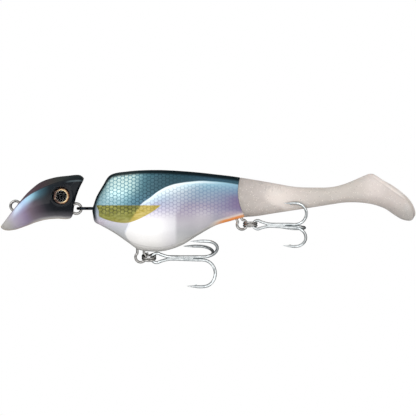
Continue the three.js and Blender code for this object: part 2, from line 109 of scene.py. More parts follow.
RING_WIRE, RING_FLAT, RING_STEP = 0.5, 1.14, 0.62  # its wire, height to width, and half the pitch
BODY_FULLNESS, TAIL_FULLNESS = 2.25, 2.1  # 2 is an ellipse, more is squarer
SCALE_TALL, SCALE_STEP = 1.96, 1.97  # a scale's height, and the step from column to column
SCALE_START = 400.0  # how far before the origin the rows and columns start
ROW_TOP, ROW_ARCH = 80.0, 0.0016  # the rows are arched with the back, about this x


# ---- curves and surfaces ----
def cubic(p1, p2, m1, m2, w):
    """The cubic from p1 to p2 that leaves with slope m1 and arrives with slope m2, at w."""
    a = 2 * p1 - 2 * p2 + m1 + m2
    b = -3 * p1 + 3 * p2 - 2 * m1 - m2
    return a * w**3 + b * w**2 + m1 * w + p1


def catmull(points, t):
    """The uniform Catmull-Rom curve through points, at t from 0 to 1."""
    points = np.asarray(points, float)
    place = t * (len(points) - 1)
    i = min(int(place), len(points) - 2)
    w = place - i
    p1, p2 = points[i], points[i + 1]
    p0 = points[i - 1] if i > 0 else 2 * p1 - p2
    p3 = points[i + 2] if i + 2 < len(points) else 2 * p2 - p1
    return cubic(p1, p2, (p2 - p0) / 2, (p3 - p1) / 2, w)


def station(stations, t):
    """(crest, keel, half, bow, drop) between the stations, at t from 0 to 1."""
    row = catmull([(*c, *k, h, b, d) for c, k, h, b, d in stations], t)
    return row[0:2], row[2:4], row[4], row[5], row[6]


def on_station(s, y, share):
    crest, keel, _, bow, _ = s
    x, z = keel + (crest - keel) * share
    return np.array((x - bow * 4 * share * (1 - share), y, z))


def oval_ring(s, count, fullness):
    ring = []
    for k in range(count):
        angle = 2 * math.pi * k / count
        side, rise = math.sin(angle), math.cos(angle)
        y = s[2] * math.copysign(abs(side) ** (2 / fullness), side)
        share = 0.5 - 0.5 * math.copysign(abs(rise) ** (2 / fullness), rise)
        ring.append(on_station(s, y, share))
    return np.array(ring)


def wedge_ring(s, chin_steps, crown_steps):
    """The head's section: a round chin up to a ridge on each side, and a low crown between them."""
    height = np.linalg.norm(s[0] - s[1])
    ridge = 1 - s[4] / height
    side = []
    for k in range(1, chin_steps + 1):
        angle = k / chin_steps * math.pi / 2
        low = ridge * (1 - math.cos(angle) ** 0.95 if k < chin_steps else 1)
        side.append((s[2] * math.sin(angle) ** 0.9, low))
    for k in range(1, crown_steps):
        inward = 1 - k / crown_steps
        side.append((s[2] * inward, ridge + (1 - ridge) * (1 - inward**2)))
    ring = [on_station(s, 0, 0)]
    ring += [on_station(s, y, share) for y, share in side]
    ring += [on_station(s, 0, 1)]
    ring += [on_station(s, -y, share) for y, share in reversed(side)]
    return np.array(ring)


def softened(ring, times):
    """A ring with its corners rounded a little."""
    for _ in range(times):
        ring = (np.roll(ring, 1, 0) + 2 * ring + np.roll(ring, -1, 0)) / 4
    return ring


def make(name, points, faces):
    mesh = bpy.data.meshes.new(name)
    mesh.from_pydata([tuple(p) for p in np.asarray(points) * MM], [], faces)
    mesh.validate()
    mesh.update()
    mesh.polygons.foreach_set("use_smooth", [True] * len(mesh.polygons))
    obj = bpy.data.objects.new(name, mesh)
    bpy.context.scene.collection.objects.link(obj)
    return obj


def skin(rings):
    """Points and faces through rings of equal length, with a fan over each end."""
    count = len(rings[0])
    points = [p for ring in rings for p in ring]
    faces = []
    last = len(rings) - 1
    for i in range(last):
        a, b = i * count, (i + 1) * count
        for k in range(count):
            n = (k + 1) % count
            faces.append((a + k, a + n, b + n, b + k))
    for base, ring, flip in ((0, rings[0], True), (last * count, rings[-1], False)):
        middle = len(points)
        points.append(np.mean(ring, axis=0))
        for k in range(count):
            n = (k + 1) % count
            faces.append((base + n, base + k, middle) if flip else (base + k, base + n, middle))
    return points, faces


def end_rings(ring, outward, depth, round_steps=4, cap_steps=5, edge=0.9):
    """Rings that round an edge over and then close in on the middle of the end."""
    middle = ring.mean(axis=0)
    rings = []
    size = np.linalg.norm(ring - middle, axis=1).mean()
    for k in range(1, round_steps + 1):
        angle = k / round_steps * math.pi / 2
        shrink = 1 - edge * (1 - math.cos(angle)) / size
        rings.append(middle + (ring - middle) * shrink + outward * edge * math.sin(angle) * 0.5)
    rim = rings[-1]
    for k in range(1, cap_steps):
        inward = k / cap_steps
        rings.append(rim + (rim.mean(axis=0) - rim) * inward + outward * depth * (1 - (1 - inward) ** 2))
    return rings


def centripetal(points, steps):
    """Evenly indexed places on the centripetal Catmull-Rom curve through points."""
    pts = [np.asarray(p, float) for p in points]
    pts = [2 * pts[0] - pts[1], *pts, 2 * pts[-1] - pts[-2]]
    out = []
    for i in range(len(pts) - 3):
        p0, p1, p2, p3 = pts[i : i + 4]
        t01, t12, t23 = (max(np.linalg.norm(b - a), 1e-6) ** 0.5 for a, b in ((p0, p1), (p1, p2), (p2, p3)))
        m1 = p2 - p1 + t12 * ((p1 - p0) / t01 - (p2 - p0) / (t01 + t12))
        m2 = p2 - p1 + t12 * ((p3 - p2) / t23 - (p3 - p1) / (t12 + t23))
        out += [cubic(p1, p2, m1, m2, k / steps) for k in range(steps)]
    out.append(pts[-2])
    return np.array(out)


def tube_rings(path, radius, sides=16, flat=1.0, up=None):
    """Round or flattened sections along a path. radius is a number or one for each place."""
    path = np.asarray(path, float)
    radii = np.broadcast_to(np.asarray(radius, float), (len(path),))
    tangent = np.gradient(path, axis=0)
    tangent /= np.linalg.norm(tangent, axis=1)[:, None]
    side = np.cross(tangent[0], up if up is not None else (0.123, 0.456, 0.881))
    rings = []
    for place, along, r in zip(path, tangent, radii):
        if up is not None:
            side = np.cross(along, up)
        side = side - along * (side @ along)
        side /= np.linalg.norm(side)
        other = np.cross(along, side)
        ring = []
        for k in range(sides):
            a = 2 * math.pi * k / sides
            ring.append(place + side * r * math.cos(a) + other * r * flat * math.sin(a))
        rings.append(np.array(ring))
    return rings


def round_end(path, radius, at_start=True, at_end=True, steps=4):
    """The path and its radii with a domed end instead of a flat one."""
    path = [np.asarray(p, float) for p in path]
    radii = list(np.broadcast_to(np.asarray(radius, float), (len(path),)))
    for wanted, index in ((at_start, 0), (at_end, -1)):
        if not wanted:
            continue
        tip = path[index]
        away = tip - path[1 if index == 0 else -2]
        away /= np.linalg.norm(away)
        r = radii[index]
        for k in range(1, steps + 1):
            angle = k / steps * 1.5
            at = 0 if index == 0 else len(path)
            path.insert(at, tip + away * r * math.sin(angle))
            radii.insert(at, r * math.cos(angle))
    return path, radii


def joined(name, parts):
    """One object from several meshes."""
    points, faces = [], []
    for p, f in parts:
        base = len(points)
        points += list(p)
        faces += [tuple(i + base for i in face) for face in f]
    return make(name, points, faces)


def cut_out(obj, cutter):
    """Takes the cutter's shape out of obj."""
    mod = obj.modifiers.new("cut", "BOOLEAN")
    mod.operation = "DIFFERENCE"
    mod.solver = "EXACT"
    mod.object = cutter
    bpy.context.view_layer.update()
    graph = bpy.context.evaluated_depsgraph_get()
    mesh = bpy.data.meshes.new_from_object(obj.evaluated_get(graph))
    obj.modifiers.clear()
    obj.data = mesh
    bpy.data.objects.remove(cutter)


def sharpen(obj, degrees):
    """Smooth shading that keeps edges sharper than this."""
    mesh = obj.data
    mesh.polygons.foreach_set("use_smooth", [True] * len(mesh.polygons))
    mesh.set_sharp_from_angle(angle=math.radians(degrees))
    return obj


def lathe_y(profile, x, z, sign, count=48):
    """A solid of revolution about the Y axis through (x, z). The profile is (radius, y)."""
    rings = []
    for r, y in profile:
        ring = [
            (x + r * math.cos(2 * math.pi * k / count), sign * y, z + r * math.sin(2 * math.pi * k / count))
            for k in range(count)
        ]
        rings.append(np.array(ring))
    points, faces = skin(rings)
    if sign > 0:
        faces = [tuple(reversed(f)) for f in faces]
    return points, faces


# ---- material building: numbers that vary over a surface, made of math nodes ----
class Field:
    """A number over the surface of one material."""

    def __init__(self, look, socket):
        self.look, self.socket = look, socket

    def op(self, name, *others, flip=False):
        node = self.look.new("ShaderNodeMath")
        node.operation = name
        values = [self, *others]
        if flip:
            values.reverse()
        for slot, value in zip(node.inputs, values):
            self.look.plug(value, slot)
        return Field(self.look, node.outputs[0])

    def __add__(self, o):
        return self.op("ADD", o)

    def __sub__(self, o):
        return self.op("SUBTRACT", o)

    def __rsub__(self, o):
        return self.op("SUBTRACT", o, flip=True)

    def __mul__(self, o):
        return self.op("MULTIPLY", o)

    def __truediv__(self, o):
        return self.op("DIVIDE", o)

    __radd__ = __add__
    __rmul__ = __mul__

    def abs(self):
        return self.op("ABSOLUTE")

    def least(self, low):
        """This number, or low where it is below it."""
        return self.op("MAXIMUM", low)

    def most(self, high):
        """This number, or high where it is above it."""
        return self.op("MINIMUM", high)

    def between(self, low, high):
        """0 below low, 1 above high and smooth between; low may be the greater."""
        node = self.look.new("ShaderNodeMapRange")
        node.interpolation_type = "SMOOTHSTEP"
        turned = isinstance(low, (int, float)) and low > high
        values = (self, high, low, 1.0, 0.0) if turned else (self, low, high, 0.0, 1.0)
        for slot, value in zip(node.inputs[:5], values):
            self.look.plug(value, slot)
        return Field(self.look, node.outputs[0])

    def band(self, a, b, c, d):
        """0 below a, 1 from b to c, 0 above d and smooth between."""
        return self.between(a, b) * self.between(d, c)

    def curve(self, places):
        """A smooth curve through (input, output) pairs."""
        x0, x1 = places[0][0], places[-1][0]
        low = min(v for _, v in places)
        high = max(v for _, v in places)
        span = max(high - low, 1e-6)
        node = self.look.new("ShaderNodeFloatCurve")
        line = node.mapping.curves[0]
        for i, (u, v) in enumerate(places):
            at = ((u - x0) / (x1 - x0), (v - low) / span)
            if i == 0:
                line.points[0].location = at
            elif i == len(places) - 1:
                line.points[-1].location = at
            else:
                line.points.new(*at)
        node.mapping.update()
        self.look.plug(((self - x0) / (x1 - x0)).least(0.0).most(1.0), node.inputs[1])
        return Field(self.look, node.outputs[0]) * span + low

    def ramp(self, stops):
        """Colours along this number: stops are (number, hex colour)."""
        low, high = stops[0][0], stops[-1][0]
        node = self.look.new("ShaderNodeValToRGB")
        band = node.color_ramp
        for i, (place, colour) in enumerate(stops):
            at = (place - low) / (high - low)
            set_stop(band, i, len(stops), at, tint(colour))
        self.look.plug((self - low) / (high - low), node.inputs[0])
        return Field(self.look, node.outputs[0])


def set_stop(band, i, count, place, colour):
    """Sets stop i of count on a colour ramp that starts with its two end stops."""
    if i in (0, count - 1):
        stop = band.elements[0 if i == 0 else -1]
    else:
        stop = band.elements.new(place)
    stop.position = place
    stop.color = colour


def tint(colour):
    """A hex display colour as linear RGBA."""
    parts = [int(colour[i : i + 2], 16) / 255 for i in (0, 2, 4)]
    return (*[c / 12.92 if c <= 0.04045 else ((c + 0.055) / 1.055) ** 2.4 for c in parts], 1.0)


class Look:
    """One material with its coordinates in millimetres."""

    def __init__(self, name, attribute=None, **numbers):
        self.mat = bpy.data.materials.new(name)
        self.mat.use_nodes = True
        self.tree = self.mat.node_tree
        self.shader = self.tree.nodes["Principled BSDF"]
        if attribute:
            node = self.new("ShaderNodeAttribute")
            node.attribute_name = attribute
            place = node.outputs["Vector"]
        else:
            place = self.new("ShaderNodeTexCoord").outputs["Object"]
        scale = self.new("ShaderNodeVectorMath")
        scale.operation = "SCALE"
        scale.inputs["Scale"].default_value = 1000
        self.tree.links.new(place, scale.inputs[0])
        self.place = Field(self, scale.outputs[0])
        split = self.new("ShaderNodeSeparateXYZ")
        self.tree.links.new(scale.outputs[0], split.inputs[0])
        self.x, self.y, self.z = (Field(self, o) for o in split.outputs)
        for key, value in numbers.items():
            self.shader.inputs[key.replace("_", " ").title().replace("Ior", "IOR")].default_value = value

    def new(self, kind):
        return self.tree.nodes.new(kind)

    def plug(self, value, slot):
        if isinstance(value, Field):
            self.tree.links.new(value.socket, slot)
        elif isinstance(value, str):
            slot.default_value = tint(value)
        else:
            slot.default_value = value

    def set(self, name, value):
        self.plug(value, self.shader.inputs[name])

    def mix(self, share, a, b):
        """Colour a where share is 0 and b where it is 1."""
        node = self.new("ShaderNodeMix")
        node.data_type = "RGBA"
        for slot, value in zip((node.inputs[0], node.inputs[6], node.inputs[7]), (share, a, b)):
            self.plug(value, slot)
        return Field(self, node.outputs[2])

    def noise(self, size, detail=3.0, stretch=(1, 1, 1), rough=0.5):
        """Noise from 0 to 1 with features of about that size in millimetres."""
        node = self.new("ShaderNodeTexNoise")
        node.inputs["Scale"].default_value = 1 / size
        node.inputs["Detail"].default_value = detail
        node.inputs["Roughness"].default_value = rough
        spread = self.new("ShaderNodeVectorMath")
        spread.operation = "MULTIPLY"
        spread.inputs[1].default_value = stretch
        self.tree.links.new(self.place.socket, spread.inputs[0])
        self.tree.links.new(spread.outputs[0], node.inputs["Vector"])
        return Field(self, node.outputs["Fac"])

    def cells(self, size, output="Distance"):
        """Each cell's distance from its middle, or its own random colour."""
        node = self.new("ShaderNodeTexVoronoi")
        node.inputs["Scale"].default_value = 1 / size
        self.tree.links.new(self.place.socket, node.inputs["Vector"])
        return Field(self, node.outputs[output])

    def bump(self, height, millimetres, strength=1.0):
        """Relief of that height; the shader's own normal is bent by it."""
        node = self.new("ShaderNodeBump")
        node.inputs["Strength"].default_value = strength
        node.inputs["Distance"].default_value = millimetres * MM
        self.plug(height, node.inputs["Height"])
        self.tree.links.new(node.outputs[0], self.shader.inputs["Normal"])

    def wear(self, obj):
        obj.data.materials.clear()
        obj.data.materials.append(self.mat)


def scale_pattern(look, across):
    """0 at the middle of each six-sided scale and 1 on its outline; across runs over the rows."""
    height, width = SCALE_TALL, SCALE_STEP
    reach = (height * height / 4 + width * width) / 2

    def cell(z, x):
        dz = (((z / height).op("FRACT") - 0.5) * height).abs()
        dx = (((x / (2 * width)).op("FRACT") - 0.5) * (2 * width)).abs()
        return (dz / (height / 2)).least((dz * (height / 2) + dx * width) / reach)

    z, x = across + SCALE_START, look.x + SCALE_START
    return cell(z, x).most(cell(z + height / 2, x + width))


# ---- where the paint changes, as (x, z) ----
def ridge_point(s):
    """Where a section of the head has its ridge."""
    height = np.linalg.norm(np.subtract(s[0], s[1]))
    x, _, z = on_station((np.array(s[0]), np.array(s[1]), *s[2:]), 0, 1 - s[4] / height)
    return float(x), float(z)


RIDGE = [ridge_point(s) for s in HEAD[:10]]
CHIN = [s[1] for s in HEAD[1:9]]
CREST = [s[0] for s in BODY]
KEEL = [s[1] for s in BODY]
# The edge between the dark back and the bright flank, down to the lower end of the white panel: partly
# two-tone paint, partly a painted reflection edge.
ARC = [
    (58.6, -12.5), (60, -9.5), (63.5, -3.2), (67.7, 1.8), (71.3, 4.3), (76.7, 8.3), (82.2, 10.9),
    (87.7, 12.2), (93.2, 12.9), (98.6, 13.3), (104, 13.05), (109.6, 12.6), (118.5, 11.2),
]
# The upper edge of the pale rim under the belly, and the lower edge of the pectoral patch.
BELLY = [
    (41, -7.6), (45.2, -9.4), (49.5, -11.6), (54.5, -14.6), (58, -17.3), (60.5, -19), (63, -20.3),
    (66, -21.2), (71, -22.1), (76.6, -22.4), (82, -21.4), (87.2, -19.4), (93, -16.2), (99, -12.4),
    (106, -9.2), (120, -5.4),
]
FIN_LOW = [
    (43.2, -4.6), (46.4, -6.4), (50.4, -7.8), (56.5, -8.9), (59.3, -8.9), (62.6, -8.1), (68.6, -5.4),
    (73.1, -2.8), (77.2, 0.3),
]
TAIL_LOW = [
    (119, -5.9), (137, -3.8), (157, -0.9), (167, 0.7), (181, 1.9), (187, 1.3), (196, -1.8), (212, -7.8),
]


# ---- looks ----
def metal_look(name, colour, dark, roughness):
    look = Look(name, metallic=1)
    look.shader.inputs["Specular Tint"].default_value = (0.12, 0.14, 0.15, 1)  # darker at the edges
    cloudy = look.noise(1.6, 4)
    fine = look.noise(0.22, 2, stretch=(0.35, 1, 1))
    look.set("Base Color", look.mix(cloudy.between(0.3, 0.6), dark, colour))
    look.set("Roughness", fine * 0.07 + cloudy * 0.1 + roughness - 0.05)
    look.bump(fine, 0.004, 0.12)
    return look


def head_look():
    look = Look("pearl head paint", coat_weight=0.3, coat_roughness=0.05, specular_ior_level=0)
    x, z, mix = look.x, look.z, look.mix
    ridge = x.curve(RIDGE)
    below = ridge - z
    soft = (look.noise(7, 2) - 0.5) * 1.6
    along = x + z * 0.5 + soft
    side = along.ramp([
        (-13.5, "b9b5ae"), (-8, "b0adac"), (-4, "ada5b4"), (0, "a094ab"), (3, "8b7d96"),
        (7, "716470"), (10, "5c525d"), (12.5, "4a424b"), (16.5, "28282e"), (20, "15181d"), (42, "10141a"),
    ])
    # Painted highlight: a bright blue band just under the ridge, with a lavender painted sheen below it and
    # a teal painted glint further back.
    painted_gleam = below.band(0.1, 0.7, 1.6, 5.6)
    painted_gleam = painted_gleam * x.curve([
        (-8, 0), (-2, 0.15), (1.5, 0.9), (8, 0.95), (11.5, 0.8), (15, 0.35), (20, 0.1), (30, 0),
    ])
    painted_gleam_blue = along.ramp([
        (-8, "c4c6d6"), (1, "cfe2f8"), (5, "b4cfee"), (9, "a8d2e8"),
        (13, "86b6ca"), (17, "568497"), (23, "32505a"), (32, "1c2a30"),
    ])
    painted_sheen = below.band(0.5, 2, 3.5, 8) * x.band(-2, 3, 6, 11)
    side = mix(painted_sheen * 0.55, side, "99a3c6")
    side = mix(painted_gleam, side, painted_gleam_blue)
    painted_teal_glint = below.between(7.5, 3.5) * x.band(9, 13, 13.5, 19)
    side = mix(painted_teal_glint * 0.4, side, "33505c")
    under = z - x.curve(CHIN)
    pale = x.ramp([(-8, "c8c0b2"), (2, "b7b0aa"), (10, "c9c6c5"), (22, "d4d2d0"), (31, "b9b8b8")])
    side = mix(under.between(2.1, 0.1) * x.between(4, 14) * 0.85, side, pale)
    side = mix(under.between(5, 1.5) * x.between(4, 12) * 0.2, side, "a5a0a8")
    side = mix(under.between(0.9, 0) * 0.5, side, "c9b59a")
    face = x.ramp([
        (-8, "a39c9a"), (-3, "7b7277"), (3, "625560"), (8, "604d55"), (13, "493b41"),
        (19, "3c3837"), (24, "303433"), (30, "1c2528"), (36, "141e20"),
    ])
    colour = mix(below.between(-0.15, 0.25), face, side)
    # Painted highlight: a thin lighter line just below the ridge at the rear, standing in for light on the
    # rear bevel.
    edge = below.band(0.5, 1.1, 1.3, 1.9) * x.between(26, 30)
    colour = mix(edge * 0.55, colour, "5d6b70")
    flake = look.cells(0.22).between(0.16, 0.05)
    colour = mix(flake * 0.10, colour, "e8e4f0")
    look.set("Base Color", colour)
    look.set("Metallic", look.noise(3, 2).between(0.2, 0.8) * 0.1 * below.between(0, 1))
    look.set("Roughness", look.noise(1.2, 3) * 0.12 + 0.3)
    seam = look.y.abs().between(0.28, 0.05)
    look.bump(look.noise(2.2, 2) * 0.5 - seam, 0.03, 0.5)
    return look


def body_look():
    look = Look("scaled pearl body paint", coat_roughness=0.05, specular_ior_level=0)
    x, z, mix = look.x, look.z, look.mix
    crest, keel = x.curve(CREST), x.curve(KEEL)
    arc = x.curve(ARC)
    off = x - ROW_TOP
    scale = scale_pattern(look, z + off * off * ROW_ARCH)
    line = scale.between(0.7, 0.94) * (crest - z).between(0.6, 2.6)
    middle = scale.between(0.95, 0.55)

    # The back: dark teal paint, and a painted highlight on the shoulder behind the head that falls off into
    # the teal.
    t = x - (z - 6) * 0.5 + (look.noise(5, 2) - 0.5) * 1.5
    back = t.ramp([
        (41, "26343b"), (44, "7c9da2"), (46.5, "a6c8cb"), (51, "b9dadd"), (57, "b2d6da"), (60, "8fbac1"),
        (63, "6b96a1"), (66, "4f7884"), (71, "456773"), (78, "345560"), (86, "2f4e5a"), (100, "37586a"),
        (122, "35565f"),
    ])
    # Painted highlight: a mint gleam on the middles of the shoulder's scales.
    painted_mint_highlight = z.between(2, 14) * x.band(47, 53, 60, 68)
    back = mix(painted_mint_highlight * 0.6 * middle, back, "e6fbf0")
    back = mix(z.between(9, 1) * 0.35, back, "6f98b4")
    # The scale outlines are lighter under the painted shoulder highlight too.
    dark_line = t.ramp([
        (41, "1d2a30"), (48, "6f9aa5"), (58, "5f8d9b"), (64, "3b5f6b"), (70, "274450"), (80, "20363f"),
        (122, "263f48"),
    ])
    outlined = x.curve([(40, 0.9), (70, 0.95), (80, 0.8), (90, 0.45), (100, 0.3), (122, 0.2)])
    back = mix(line * outlined, back, dark_line)
    rim = (crest - z).between(3, 1.3)
    thinner = (x - 52).least(0) * 0.35 - (x - 72).least(0) * 0.35
    rim = rim.least((crest - z + thinner).between(2.6, 1.2))
    back = mix(rim * 0.97, back, "111b1e")

    # The flank: sky blue under the arc, then lavender, then near-white on the belly.
    flank = z.ramp([
        (-25, "c9c9c6"), (-20, "c6c6c4"), (-14, "b5b5b8"), (-9, "b4b0b7"), (-4, "a9a0ae"),
        (0, "988fa2"), (4, "8893a5"), (8, "839caf"), (11, "90b6c8"), (13, "9cc6d6"), (15, "9cc6d6"),
    ])
    rear = x.between(98, 119)
    flank = mix(rear * z.between(14, 7) * 0.5, flank, "587a98")
    flank = mix(rear * z.band(-5, -1, 4, 9) * 0.6, flank, "755f84")
    flank = mix(x.band(92, 99, 100, 108) * z.between(1, -5) * 0.45, flank, "c9c5ca")
    flank = mix(x.between(108, 120) * z.band(-4, 0, 3, 7) * 0.55, flank, "6e4f78")
    flank = mix(x.between(105, 117) * z.between(-1.5, -4.5) * 0.5, flank, "d3b2b9")
    panel = z.ramp([
        (-25, "d0cdc9"), (-22, "e2e0dc"), (-18, "f3f1ef"), (-12, "fbfafa"), (-8, "f8f6f8"), (-5, "e9e5ed"),
        (-2, "cfcbe0"), (1, "b4bbd3"), (4, "b6cde0"), (8, "d0e9f3"), (11, "e4f5fa"), (14, "e4f5fa"),
    ])
    panel = mix(x.between(73, 84) * 0.42, panel, "b4b1bb")
    panel = mix(x.between(80, 88) * 0.3, panel, "b9b7bd")
    blue_top = (z - (arc - 5.5)).between(0, 4) * x.band(66, 72, 76, 84)
    panel = mix(blue_top * 0.3, panel, "a9dcf2")
    slant = x - (z + 4).least(0) * 0.42
    spread = (z + 5).least(0)
    bright = mix(slant.between(84 - spread * 0.35, spread * 0.7 + 86.4), panel, flank)
    under_arc = arc - z
    # Painted highlight: a bright band along the underside of the arc, with a thinner near-white painted
    # highlight line in it.
    deep = x.curve([(60, 2.6), (80, 6.5), (88, 6), (98, 3.4), (122, 3)])
    painted_gleam = under_arc.band(-0.2, 0.5, 0.6, deep)
    painted_gleam = painted_gleam * x.curve([(60, 0.3), (70, 0.85), (80, 1), (93, 0.75), (104, 0.25), (120, 0.1)])
    painted_highlight_thread = under_arc.band(0, 0.4, 0.8, 1.7)
    painted_highlight_thread = painted_highlight_thread * x.band(64, 72, 95, 112)
    painted_gleam_colour = x.ramp([
        (60, "c3cdea"), (72, "e2f4fb"), (84, "f2fdff"), (93, "c9ecf7"), (106, "9fd0e2"), (120, "7fb2cd"),
    ])
    bright = mix(painted_gleam, bright, painted_gleam_colour)
    bright = mix(painted_highlight_thread * 0.7, bright, "f4fdff")
    strong = x.curve([(60, 0.3), (70, 0.45), (84, 0.5), (100, 0.52), (112, 0.38), (122, 0.25)])
    shown = z.between(-7.5, -2) * strong * under_arc.between(0.5, 3)
    flank_line = z.ramp([(-7, "8b83a0"), (1, "6f7096"), (8, "5c7d9d"), (13, "5f8fac")])
    bright = mix(line * shown, bright, flank_line)
    bright = mix(middle * shown * 0.15, bright, "dfe9f2")

    # Forward of the panel the belly is a cooler grey.
    front = z.ramp([
        (-25, "c2bfba"), (-16, "c6c8c9"), (-12, "c9cbd0"), (-8, "d2d0dc"), (-4, "a2adb8"), (2, "7d8f98"),
    ])
    front = mix(x.between(50, 44) * z.between(-6, -9) * 0.5, front, "c9b4c2")
    low = z.between(0.7, 0.2)
    forward = x.between(65.5, 64.8)
    # The switch from the back to the flank along the arc: two-tone paint shaped as a painted reflection
    # edge.
    colour = mix(under_arc.between(0.35, -0.25), bright, back)
    colour = mix(low * (z - arc).between(-0.6, 0.3) * x.between(66.5, 66), colour, front)
    start = z.curve([(-20, 61.5), (-18.2, 60.3), (-16, 58.8), (-13.8, 58.2), (-10.6, 59.2), (-7, 61.5)])
    lower = z.between(-7.5, -8.5) * (x - start).between(0.7, -0.6)
    colour = mix(lower * forward, colour, front)

    # The pectoral patch, olive with scales above and bright gold where the light falls on it.
    top = (0.35 - z + (look.noise(1.5, 2) - 0.5) * 0.25).between(-0.15, 0.15)
    bottom = (z - x.curve(FIN_LOW)).between(-0.15, 0.15)
    fin_front = z.curve([(-6.5, 44.5), (-4.8, 44.4), (-2.8, 44.4), (-1.2, 43.7), (0.6, 43.1)])
    notch = (x - fin_front).between(-0.1, 0.2)
    fin = top * bottom * notch * x.between(77.4, 77)
    mottle = look.noise(1.3, 4, stretch=(0.45, 1, 1.4))
    olive = mix(mottle.between(0.35, 0.65), "7d7d37", "999954")
    olive = mix(line * z.between(-6.5, -2.5) * 0.85, olive, "3d4124")
    olive = mix(z.between(-6, -8.5) * 0.35, olive, "b7a668")
    gold = mix(mottle.between(0.3, 0.7), "b5a24f", "d2c077")
    olive = mix(x.between(52, 60) * z.between(-4, -0.5) * 0.45, olive, "474b2c")
    gold = mix(line * z.between(-5, -1) * 0.5, gold, "7d6f30")
    gold = mix(x.between(70, 76) * 0.5, gold, "9f8f3d")
    lit = (x - (66.4 + z * 0.72) + (mottle - 0.5) * 1.2).between(-0.8, 0.9)
    colour = mix(fin, colour, mix(lit, olive, gold))

    # The pale rim under the belly, the orange stripe by the tail, and the black front edge.
    rim_low = (z - x.curve(BELLY)).between(0.35, -0.35) * x.between(44, 54)
    belly = (z - keel).ramp([(0, "a9a7a3"), (1.2, "c6c4c0"), (2.6, "dddbd7"), (6, "e2e0dd")])
    colour = mix(rim_low * 0.85, colour, belly)
    groove = (z - x.curve(BELLY) - 0.5).abs().between(0.55, 0.1) * x.band(50, 60, 90, 98)
    colour = mix(groove * 0.45, colour, "bcbab9")
    colour = mix((z - keel).between(1.1, 0.1) * 0.4, colour, "a9a7a4")
    stripe = z - keel - 0.2
    cream = stripe.between(3, 1.6) * x.between(101, 108)
    colour = mix(cream * 0.75, colour, "ecdccb")
    orange = stripe.between(1.9, 0.9) * x.between(104, 111)
    orange_tone = x.ramp([(100, "e8b083"), (110, "f0933f"), (118, "f09048"), (122, "e4b287")])
    colour = mix(orange * 0.95, colour, orange_tone)
    nose_edge = z.curve([
        (-12, 44), (-8.5, 42.6), (-3, 41.5), (1, 42), (5.3, 43.6), (11, 46.9), (15.5, 49.9), (19, 56),
    ])
    nose = (x - nose_edge).between(2.1, 0.4)
    colour = mix(nose * z.between(-11, -5), colour, "182226")

    flake = look.cells(0.2).between(0.15, 0.05)
    colour = mix(flake * 0.07, colour, "ffffff")
    look.set("Base Color", colour)
    above = (1 - low).least(x.between(66, 68))
    upper = (z - arc).between(-0.3, 0.3) * above
    look.set("Metallic", upper * middle * (crest - z).between(2, 5) * 0.2 + 0.02)
    look.set("Coat Weight", (crest - z).between(0.5, 5) * 0.3 + 0.03)
    look.set("Roughness", look.noise(1.2, 3) * 0.1 + 0.22)
    seam = look.y.abs().between(0.28, 0.05)
    raised = line * z.between(-7, -2) * (crest - z).between(1, 4)
    look.bump(1 - raised - seam, 0.03, 0.5)
    return look


def eye_look():
    look = Look("foil iris", roughness=0.3, specular_ior_level=0.1)
    dx, dz = look.x - EYE_X, look.z - EYE_Z
    r = (dx * dx + dz * dz * 0.88).op("SQRT")
    turn = dz.op("ARCTAN2", dx)
    fibre = look.noise(0.9, 3)
    # Painted light: the iris in a warm lit tone on the side turned to the light, and in brown painted shade
    # on the other side.
    warm_painted_light = r.ramp([
        (2.3, "cdbb98"), (2.8, "f2e4bd"), (3.2, "d9b788"), (3.5, "9c6c4a"), (3.9, "6e4634"),
        (4.3, "3c2a26"),
    ])
    painted_shade_brown = r.ramp([(2.3, "6e5a4c"), (2.8, "938273"), (3.1, "54403a"), (3.6, "64483f"), (4.3, "3a2a28")])
    lit = (turn - 0.25).abs().between(2.3, 1.1)
    lit = (lit + (fibre - 0.5) * 0.3).most(1).least(0)
    iris = look.mix(lit, painted_shade_brown, warm_painted_light)
    iris = look.mix(fibre.between(0.55, 0.75) * 0.4, iris, "f0dcae")
    look.set("Base Color", look.mix(r.between(2.88, 2.76), iris, "07080b"))
    look.set("Metallic", r.between(2.8, 2.95) * 0.45)
    return look


def lens_look():
    look = Look("clear dome", transmission_weight=1, ior=1.12, coat_weight=0.08, coat_roughness=0.02)
    haze = look.noise(1.5, 2)
    look.set("Base Color", look.mix(haze, "ffffff", "f6f8fa"))
    look.set("Roughness", haze * 0.01)
    return look


